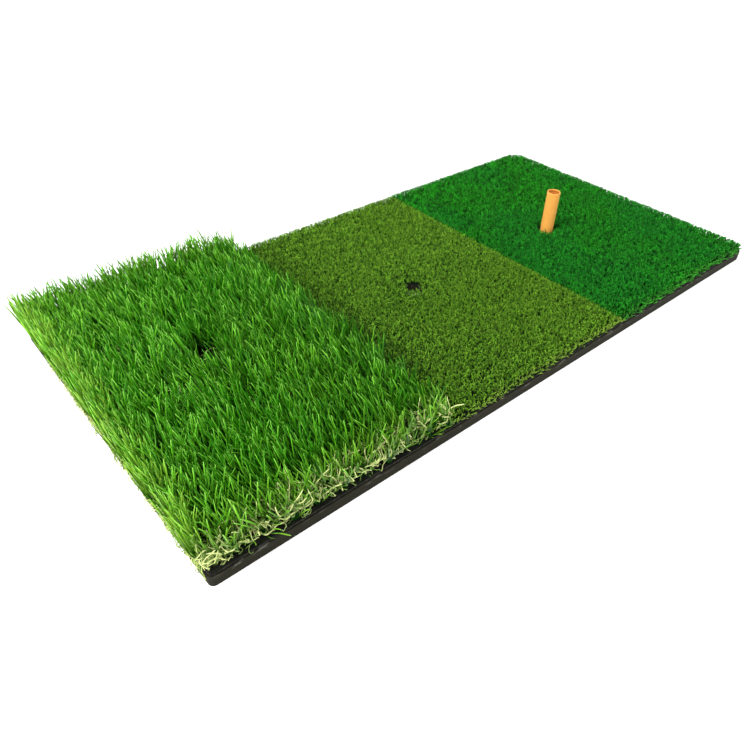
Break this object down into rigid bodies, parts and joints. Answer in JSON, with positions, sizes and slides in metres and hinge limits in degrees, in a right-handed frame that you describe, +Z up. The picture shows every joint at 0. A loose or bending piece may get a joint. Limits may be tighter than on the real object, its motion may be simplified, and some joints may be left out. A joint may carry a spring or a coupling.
{
  "type": "golf hitting mat",
  "caption": "Flat golf practice mat with long rough, short fairway and dense tee turf side by side on a rubber slab, and a flexible rubber tee.",
  "frame": {"origin": "centre of the slab's underside, on the floor", "axes": "+X along the long side, from the rough end to the tee end; +Y across to the back long side; +Z up"},
  "size_m": [0.615, 0.308, 0.055],
  "materials": {
    "slab_rubber": "matt, near black, warm grey",
    "adhesive": "dull cured glue",
    "latex": "dull latex coat",
    "backing_weave": "woven flat plastic yarn",
    "thatch_yarn": "curly straw-coloured yarn",
    "rough_yarn": "flat glossy blades, mid green, paler tips",
    "fairway_yarn": "short curly yarn, olive green",
    "tee_turf_yarn": "dense short curly yarn, deep green",
    "tee_rubber": "satin moulded rubber, orange-yellow"
  },
  "bodies": {
    "mat": {"base_slab": "slab_rubber", "rough_thatch": "thatch_yarn", "rough_blades": "rough_yarn", "fairway_pile": "fairway_yarn", "tee_turf_pile": "tee_turf_yarn", "rough_adhesive": "adhesive", "rough_latex_coat": "latex", "rough_backing": "backing_weave", "fairway_adhesive": "adhesive", "fairway_latex_coat": "latex", "fairway_backing": "backing_weave", "tee_turf_adhesive": "adhesive", "tee_turf_latex_coat": "latex", "tee_turf_backing": "backing_weave"},
    "tee_root": {"tee_foot": "tee_rubber"},
    "tee_shaft": {"tee_tube": "tee_rubber"}
  },
  "joints": [
    {"name": "tee_push_out", "type": "slide", "parent": "mat", "child": "tee_root", "axis": [0, 0, 1], "range_m": [-0.075, 0]},
    {"name": "tee_flex", "type": "hinge", "parent": "tee_root", "child": "tee_shaft", "pos_m": [0.175, -0.004, 0.0185], "axis": [0, 1, 0], "range_deg": [-60, 60], "stiffness_Nm_per_rad": 0.25}
  ]
}
